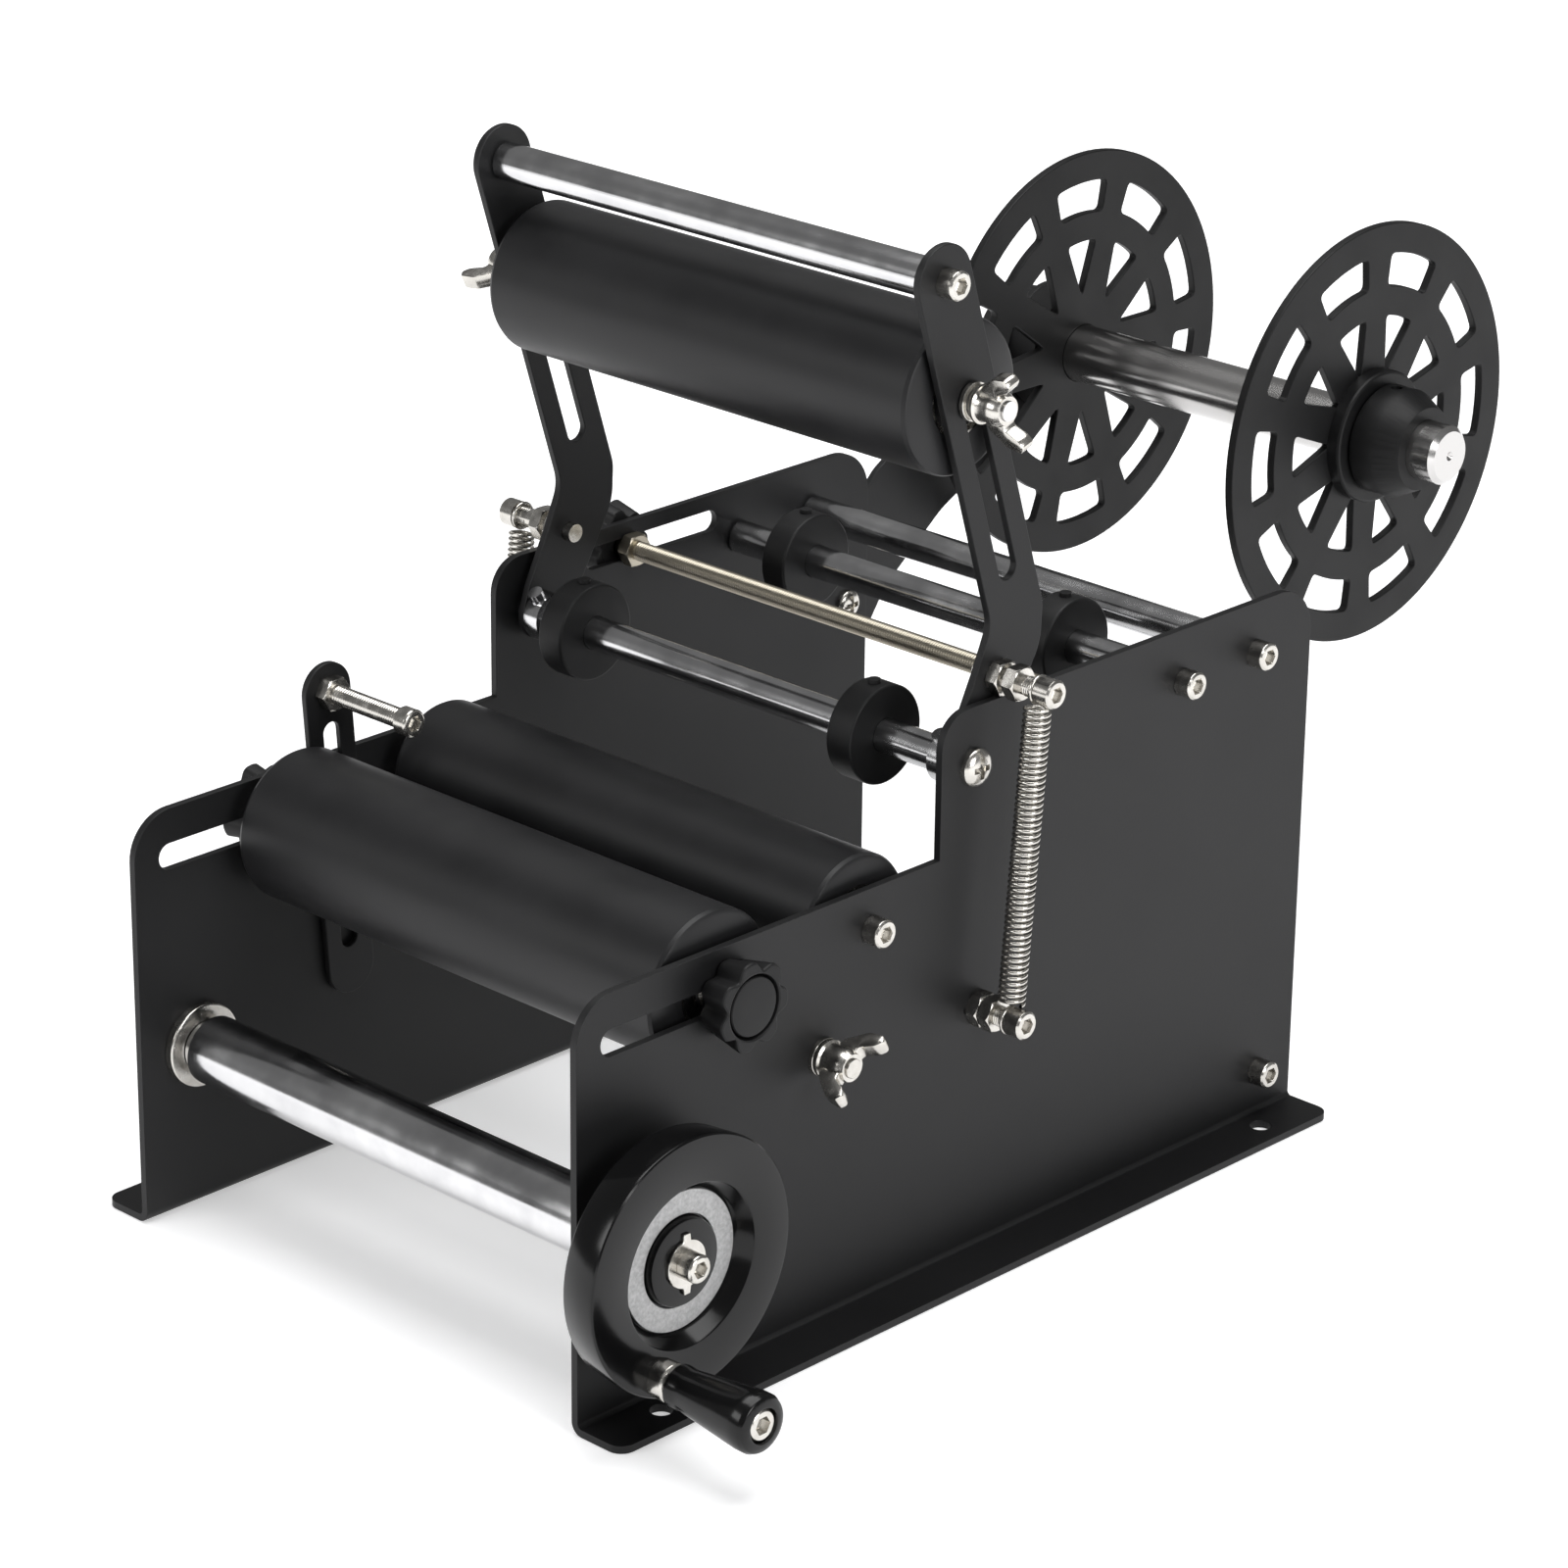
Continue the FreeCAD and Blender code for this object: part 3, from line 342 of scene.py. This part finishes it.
for name in ("rod_screws", "pivot_screws", "reel_bracket_screws", "lower_spring_studs",
             "upper_spring_studs", "crossbar_screws", "press_washers", "handwheel_screw",
             "crank_bolt", "bottle_stop_screw", "bottle_stop_nut", "bottle_stop_bolt",
             "side_bolt_right", "take_up_bearing_left", "take_up_bearing_right"):
    eased(name, 0.15 * MM, nickel, 1)


# ---- Roller bearings ---------------------------------------------------------------
# Sealed ball bearings sunk a little way into the tube's end: two bright rings with a
# black rubber seal between them, and the bright lip of the tube round the outside.
SUNK = 1.3
for name, (centre, r, left, right) in ROLLERS.items():
    rings, seals = bmesh.new(), bmesh.new()
    for end, way in ((left, 1), (right, -1)):
        at = end + way * SUNK
        turn(rings, [(end + way * 0.1, 11.5), (end + way * 0.1, 12.15), (at + way, 12.15),
                     (at + way, 11.5)], centre)
        turn(rings, [(at, 10.2), (at, 11.2), (at + way * 0.3, 11.45), (at + way * 6, 11.45),
                     (at + way * 6, 10.2)], centre)
        turn(rings, [(at, 5.1), (at, 6.6), (at + way * 6, 6.6), (at + way * 6, 5.1)], centre, 48)
        turn(seals, [(at + way * 0.3, 6.6), (at + way * 0.2, 8.0), (at + way * 0.3, 10.2),
                     (at + way * 5.6, 10.2), (at + way * 5.6, 6.6)], centre)
    piece = finish_mesh(name + "_bearing_rings", rings, nickel, name)
    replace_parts(piece, name + "_bearings")
    finish_mesh(name + "_bearing_seals", seals, rubber, name)


# ---- Wing nuts ---------------------------------------------------------------------
# Cast wing nuts: a flanged, waisted hub with two blunt paddles that lean outwards.
def rounded(points, radius, steps=4):
    """Closed outline with each corner drawn as a short curve."""
    def step_back(corner, neighbour):
        side = Vector(neighbour) - corner
        return corner + side.normalized() * min(radius, side.length * 0.45)

    loop = []
    for i, here in enumerate(points):
        corner = Vector(here)
        first = step_back(corner, points[i - 1])
        last = step_back(corner, points[(i + 1) % len(points)])
        for k in range(steps + 1):
            t = k / steps
            loop.append((1 - t) ** 2 * first + 2 * t * (1 - t) * corner + t ** 2 * last)
    return loop


def sheet_cut(bm, loops, thickness, edge, place):
    """Flat piece cut along closed loops, with eased edges, moved by a 4x4 matrix."""
    curve = bpy.data.curves.new("outline", "CURVE")
    curve.dimensions = "2D"
    curve.fill_mode = "BOTH"
    curve.extrude = thickness / 2 - edge
    curve.bevel_depth = edge
    curve.bevel_resolution = 1
    curve.offset = -edge
    for loop in loops:
        line = curve.splines.new("POLY")
        line.points.add(len(loop) - 1)
        line.use_cyclic_u = True
        for point, (u, v) in zip(line.points, loop):
            point.co = (u, v, 0, 1)
    flat = bpy.data.objects.new("outline", curve)
    bpy.context.scene.collection.objects.link(flat)
    solved = flat.evaluated_get(bpy.context.evaluated_depsgraph_get())
    mesh = bpy.data.meshes.new_from_object(solved)
    mesh.transform(place)
    bm.from_mesh(mesh)
    bpy.data.objects.remove(flat)
    bpy.data.curves.remove(curve)
    bpy.data.meshes.remove(mesh)


def axes(u, v, origin):
    """Matrix that lays a drawing's two directions along u and v, from origin."""
    u, v = Vector(u), Vector(v)
    n = u.cross(v)
    return Matrix(((u.x, v.x, n.x, origin[0]), (u.y, v.y, n.y, origin[1]),
                   (u.z, v.z, n.z, origin[2]), (0, 0, 0, 1)))


# outline of one paddle: out from the axis, up from the seat
PADDLE = rounded([(3.4, 1.8), (7.0, 3.0), (11.8, 9.0), (12.6, 14.2), (10.4, 15.6), (8.2, 14.0),
                  (6.0, 9.4), (3.4, 9.2)], 1.0)
PADDLE_THICK = 5.0
# seat, outward direction, axis (y, z), angle of the paddles
WING_NUTS = {"press_wing_nut_right": (98.1, 1, (163.16, 275.5), 109),
             "press_wing_nut_left": (-96.1, -1, (163.16, 275.5), 205),
             "bottle_wing_nut_left": (-97.9, -1, (82.38, 88.02), 34),
             "side_wing_nut_right": (99.5, 1, (100.5, 88.0), 34)}
for name, (seat, way, centre, angle) in WING_NUTS.items():
    bm = bmesh.new()
    turn(bm, [(seat, 3.1), (seat, 5.8), (seat + way * 0.3, 6.0), (seat + way * 1.2, 6.0),
              (seat + way * 1.7, 5.2), (seat + way * 3.6, 4.8), (seat + way * 5.6, 5.4),
              (seat + way * 8.4, 5.2), (seat + way * 9.4, 4.6), (seat + way * 10.2, 4.3),
              (seat + way * 10.2, 3.1)], centre, 48)
    for turn_by in (angle, angle + 180):
        a = math.radians(turn_by)
        sheet_cut(bm, [PADDLE], PADDLE_THICK, 0.6,
                  axes((0, math.cos(a), math.sin(a)), (way, 0, 0),
                       (seat, centre[0] - BACK, centre[1])))
    piece = finish_mesh(name + "_cast", bm, nickel, nodes[name]["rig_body"], 30)
    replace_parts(piece, name)


# ---- Threads -----------------------------------------------------------------------
# Rolled M6 threads on the bottle stop's screw and on the tips of the spring studs,
# drawn as rows of ridges over the plain rod.
THREAD_R = 3.0
CREST = 0.22
ROOT = -0.12


def thread(name, x0, x1, centre, body, material, slot, pitch=1.0):
    """Ridges from x0 to x1 round the line along X through centre."""
    turns = int((x1 - x0) / pitch)
    ridge = [(x0 + k * pitch / 2, THREAD_R + (CREST if k % 2 else ROOT))
             for k in range(2 * turns + 1)]
    bm = bmesh.new()
    y, z = centre
    verts = [bm.verts.new((x, y - BACK, z + rad)) for x, rad in ridge]
    edges = [bm.edges.new((a, b)) for a, b in zip(verts, verts[1:])]
    bmesh.ops.spin(bm, geom=verts + edges, cent=(0, y - BACK, z), axis=(1, 0, 0),
                   angle=2 * math.pi, steps=24, use_merge=True)
    finish_mesh(name, bm, material, body, 60)


thread("stop_screw_thread", -87.6, -58.3, (76.9, 157.7), "bottle_stop_screw", nickel,
       "nickel_steel")
LOW_STUD = (168.5, 82.5)
HIGH_STUD = (177.5, 186.6)
for side, hand in ((-1, "left"), (1, "right")):
    for tag, centre, body in (("low", LOW_STUD, "frame"), ("up", HIGH_STUD, "press_arm")):
        span = sorted((side * 106.6, side * 111.8))
        thread("stud_thread_%s_%s" % (tag, hand), *span, centre, body, nickel,
               "nickel_steel", 0.8)


# ---- Collars -----------------------------------------------------------------------
# The guide collars and the reel's clamp collar are turned from black nylon, with a
# faintly scuffed skin. The discs and knobs have the same finish.
plastic, tn, tl, plastic_bsdf = make_material("black_nylon")
scuff = object_noise(tn, tl, 40, 4)
fine = object_noise(tn, tl, 1500, 2)
tl.new(tint(tn, tl, scuff, (0.0055, 0.0055, 0.0058), (0.0085, 0.0085, 0.0089)),
       plastic_bsdf.inputs["Base Color"])
tl.new(remap(tn, tl, scuff, 0.42, 0.54), plastic_bsdf.inputs["Roughness"])
plastic_bsdf.inputs["Specular IOR Level"].default_value = 0.26
grain(tn, tl, fine, 0.3, 0.00005, plastic_bsdf)

for name in ("reel_collar", "guide_collar_pivot_left", "guide_collar_pivot_right",
             "guide_collar_rear_left", "guide_collar_rear_right"):
    eased(name, 0.3 * MM, plastic)


# ---- Reel discs --------------------------------------------------------------------
# Routed nylon discs with ten windows in each of two rings and a turned boss outside.
REEL = (417.5, 196.4)
DISC_R = 71.5
DISC_THICK = 3.0
SHAFT_BORE = 10.1
BOSS_R = 22.5
WINDOWS = 10
WINDOW_CORNER = 2.2
RIM_IN, RIM_OUT, RIM_HALF = 50.2, 61.3, 12.2            # outer windows, angle in degrees
SPOKE_TIP, SPOKE_OUT, SPOKE_HALF = 20.6, 40.2, 10.3     # inner windows


def at_angle(r, degrees):
    a = math.radians(degrees)
    return (r * math.cos(a), r * math.sin(a))


def arc(r, start, end, steps):
    """Points on a circle from one angle to another, in degrees."""
    return [at_angle(r, start + (end - start) * k / steps) for k in range(steps + 1)]


def reel_disc(name, x0, phase, boss):
    """Disc from x0 to the right; boss holds where its boss starts and ends along X."""
    loops = [arc(DISC_R, 0, 357.5, 143), arc(SHAFT_BORE, 0, 350, 35)]
    for i in range(WINDOWS):
        a = phase + 36 * i
        loops.append(rounded(arc(RIM_OUT, a - RIM_HALF, a + RIM_HALF, 4)
                             + arc(RIM_IN, a + RIM_HALF, a - RIM_HALF, 4), WINDOW_CORNER))
        loops.append(rounded([at_angle(SPOKE_TIP, a)]
                             + arc(SPOKE_OUT, a - SPOKE_HALF, a + SPOKE_HALF, 4),
                             WINDOW_CORNER))
    bm = bmesh.new()
    sheet_cut(bm, loops, DISC_THICK, 0.35,
              axes((0, 1, 0), (0, 0, 1), (x0 + DISC_THICK / 2, REEL[0] - BACK, REEL[1])))
    inner, outer = boss
    way = 1 if outer > inner else -1
    turn(bm, [(inner, SHAFT_BORE), (inner, BOSS_R), (outer - way, BOSS_R),
              (outer - way * 0.3, 22.2), (outer, 21.5), (outer, SHAFT_BORE)], REEL, 96)
    piece = finish_mesh(name + "_routed", bm, plastic, name, 11)
    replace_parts(piece, name)


reel_disc("reel_disc_right", 42.0, -1.1, (44.9, 49.9))
reel_disc("reel_disc_left", -84.8, 20.3, (-84.7, -97.1))


# ---- Outer collar ------------------------------------------------------------------
# A second clamp collar, the twin of the reel's, grips the shaft outside the bracket.
lathed("outer_collar", [(-100.1, 10.0), (-100.1, 17.4), (-101.1, 18.4), (-109, 18.4),
                        (-117.2, 14.4), (-117.7, 13.6), (-117.7, 10.0)],
       REEL, plastic, "frame")
lathed("shaft_end_left", [(-99.9, 0), (-99.9, 9.95), (-117.0, 9.95), (-117.9, 9.0),
                          (-117.9, 0)],
       REEL, chrome, "frame")


# ---- Star knobs --------------------------------------------------------------------
# Seven-lobed moulded knobs, wider at the front, each with a round cap in a groove.
LOBES = 7
LOBE_R = 14.0
VALLEY_DEPTH = 2.8
KNOB_LENGTH = 11.2


def star_knob(name, seat, way, centre):
    """Knob that stands out from its seat along X, way being 1 or -1."""
    lobes = []
    for i in range(168):
        a = 2 * math.pi * i / 168
        dip = (0.5 - 0.5 * math.cos(LOBES * a + 0.6)) ** 2
        r = LOBE_R - VALLEY_DEPTH * dip
        lobes.append((r * math.cos(a), r * math.sin(a)))
    face = seat + way * KNOB_LENGTH
    bm = bmesh.new()
    sheet_cut(bm, [lobes, arc(9.9, 0, 355, 71)], 11.0, 0.7,
              axes((0, 1, 0), (0, 0, 1), (seat + way * 5.6, centre[0] - BACK, centre[1])))
    back = [v for v in bm.verts if way * (v.co.x - seat) < 5.5]
    middle = Matrix.Translation((0, centre[0] - BACK, centre[1]))
    bmesh.ops.scale(bm, verts=back, vec=(1, 0.86, 0.86), space=middle.inverted())
    turn(bm, [(seat, 4.0), (seat, 9.2), (face - way * 0.8, 9.2), (face - way * 0.4, 8.9),
              (face - way * 0.3, 8.2), (face - way * 0.2, 4), (face - way * 0.2, 0.01),
              (face - way * 1.5, 0.01), (face - way * 1.6, 4.0)], centre)
    piece = finish_mesh(name + "_moulded", bm, plastic, name, 18)
    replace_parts(piece, name)


star_knob("front_knob_right", 97.9, 1, (60.0, 120.0))
star_knob("front_knob_left", -97.9, -1, (60.0, 120.0))
star_knob("bar_knob", -97.9, -1, (209.5, 172.0))


# ---- Handwheel and crank -----------------------------------------------------------
# Moulded phenolic wheel and grip with a low polish; a cast zinc ring lies in the dish.
bakelite, bn, bl, bakelite_bsdf = make_material("phenolic_black")
swirl = object_noise(bn, bl, 30, 4)
bakelite_bsdf.inputs["Base Color"].default_value = (0.004, 0.004, 0.0042, 1)
bl.new(remap(bn, bl, swirl, 0.14, 0.22), bakelite_bsdf.inputs["Roughness"])
bakelite_bsdf.inputs["Specular IOR Level"].default_value = 0.30
grain(bn, bl, object_noise(bn, bl, 600, 2), 0.12, 0.00005, bakelite_bsdf)
eased("crank_grip", 0.25 * MM, bakelite)
TAKE_UP = (23.0, 54.8)
wheel = lathed("wheel_moulded",
               [(101.0, 6.05), (101.0, 12.6), (101.4, 13.0), (107.4, 13.0), (107.8, 14.0),
                (107.8, 37.6), (108.2, 38.6), (109.0, 39.0), (119.6, 40.0), (120.5, 39.85),
                (120.9, 39.4), (121.0, 38.8), (121.0, 26.1), (120.8, 25.5), (120.3, 25.1),
                (116.4, 23.2), (115.6, 22.6), (115.0, 22.0), (115.0, 13.9), (117.2, 13.5),
                (117.8, 13.2), (118.0, 12.6), (118.0, 6.05)],
               TAKE_UP, bakelite, "take_up", 128)
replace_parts(wheel, "handwheel")

zinc, zn, zl, zinc_bsdf = make_material("cast_zinc")
zinc_bsdf.inputs["Metallic"].default_value = 0.6
cast = object_noise(zn, zl, 900, 3)
zl.new(tint(zn, zl, cast, (0.36, 0.36, 0.36), (0.52, 0.52, 0.52)),
       zinc_bsdf.inputs["Base Color"])
zinc_bsdf.inputs["Roughness"].default_value = 0.5
grain(zn, zl, cast, 0.5, 0.0001, zinc_bsdf)
eased("handwheel_ring", 0.2 * MM, zinc)


# ---- Reel shaft and threaded bar ---------------------------------------------------
# The reel's shaft is bright turned steel; the bar between the plates is threaded
# rod with a yellowed zinc plate.
bright, _, _, bright_bsdf = make_material("turned_steel")
bright_bsdf.inputs["Metallic"].default_value = 1
bright_bsdf.inputs["Base Color"].default_value = (0.62, 0.61, 0.60, 1)
bright_bsdf.inputs["Roughness"].default_value = 0.2
wear("reel_shaft", bright)
yellowed, _, _, yellowed_bsdf = make_material("yellowed_zinc")
yellowed_bsdf.inputs["Metallic"].default_value = 1
yellowed_bsdf.inputs["Base Color"].default_value = (0.48, 0.44, 0.36, 1)
yellowed_bsdf.inputs["Roughness"].default_value = 0.3
wear("threaded_bar", yellowed)
thread("bar_thread", -89.8, 89.8, (209.5, 172.0), "threaded_bar", yellowed,
       "yellow_zinc_steel")


# ---- Tension springs ---------------------------------------------------------------
# Close-wound nickel-plated wire, a hook at each end round its stud.
WIRE = 1.3
COIL = 8.8
HOOK_R = 4.05
TURNS = 50
COIL_INSET = 5.4    # from the stud's line to the first turn
LOW = Vector((111.0, LOW_STUD[0] - BACK, LOW_STUD[1]))
HIGH = Vector((111.0, HIGH_STUD[0] - BACK, HIGH_STUD[1]))


def spring(name, side):
    """Coil with a ring at each end; side is -1 on the left and 1 on the right."""
    run = HIGH - LOW
    steps = 20
    pitch = (run.length - 2 * COIL_INSET) / TURNS
    bm = bmesh.new()
    bmesh.ops.create_circle(bm, segments=8, radius=WIRE / 2, cap_ends=False)
    bmesh.ops.rotate(bm, verts=bm.verts, matrix=Matrix.Rotation(math.pi / 2, 3, "X"))
    bmesh.ops.translate(bm, verts=bm.verts, vec=(COIL / 2 - WIRE / 2, 0, COIL_INSET))
    bmesh.ops.spin(bm, geom=bm.verts[:] + bm.edges[:], cent=(0, 0, 0), axis=(0, 0, 1),
                   dvec=(0, 0, pitch / steps), angle=2 * math.pi * TURNS, steps=TURNS * steps)
    for z in (0, run.length):
        ring = bmesh.new()
        bmesh.ops.create_circle(ring, segments=8, radius=WIRE / 2)
        bmesh.ops.rotate(ring, verts=ring.verts, matrix=Matrix.Rotation(math.pi / 2, 3, "X"))
        bmesh.ops.translate(ring, verts=ring.verts, vec=(HOOK_R, 0, 0))
        bmesh.ops.spin(ring, geom=ring.verts[:] + ring.edges[:], cent=(0, 0, 0), axis=(0, 0, 1),
                       angle=2 * math.pi, steps=32, use_merge=True)
        bmesh.ops.rotate(ring, verts=ring.verts, matrix=Matrix.Rotation(math.pi / 2, 3, "Y"))
        bmesh.ops.translate(ring, verts=ring.verts, vec=(0, 0, z))
        part = bpy.data.meshes.new("hook")
        ring.to_mesh(part)
        ring.free()
        bm.from_mesh(part)
        bpy.data.meshes.remove(part)
    lean = Vector((0, 0, 1)).rotation_difference(run.normalized()).to_matrix()
    bmesh.ops.rotate(bm, verts=bm.verts, matrix=lean)
    bmesh.ops.translate(bm, verts=bm.verts, vec=(side * LOW.x, LOW.y, LOW.z))
    bmesh.ops.scale(bm, verts=bm.verts, vec=(MM, MM, MM))
    bmesh.ops.recalc_face_normals(bm, faces=bm.faces)
    mesh = bpy.data.meshes.new(name)
    bm.to_mesh(mesh)
    bm.free()
    mesh.polygons.foreach_set("use_smooth", [True] * len(mesh.polygons))
    mesh.materials.append(nickel)
    piece = bpy.data.objects.new(name, mesh)
    bpy.context.scene.collection.objects.link(piece)
    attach(piece, "springs")
    return piece


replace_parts(spring("spring_coil_left", -1), "spring_left")
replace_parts(spring("spring_coil_right", 1), "spring_right")
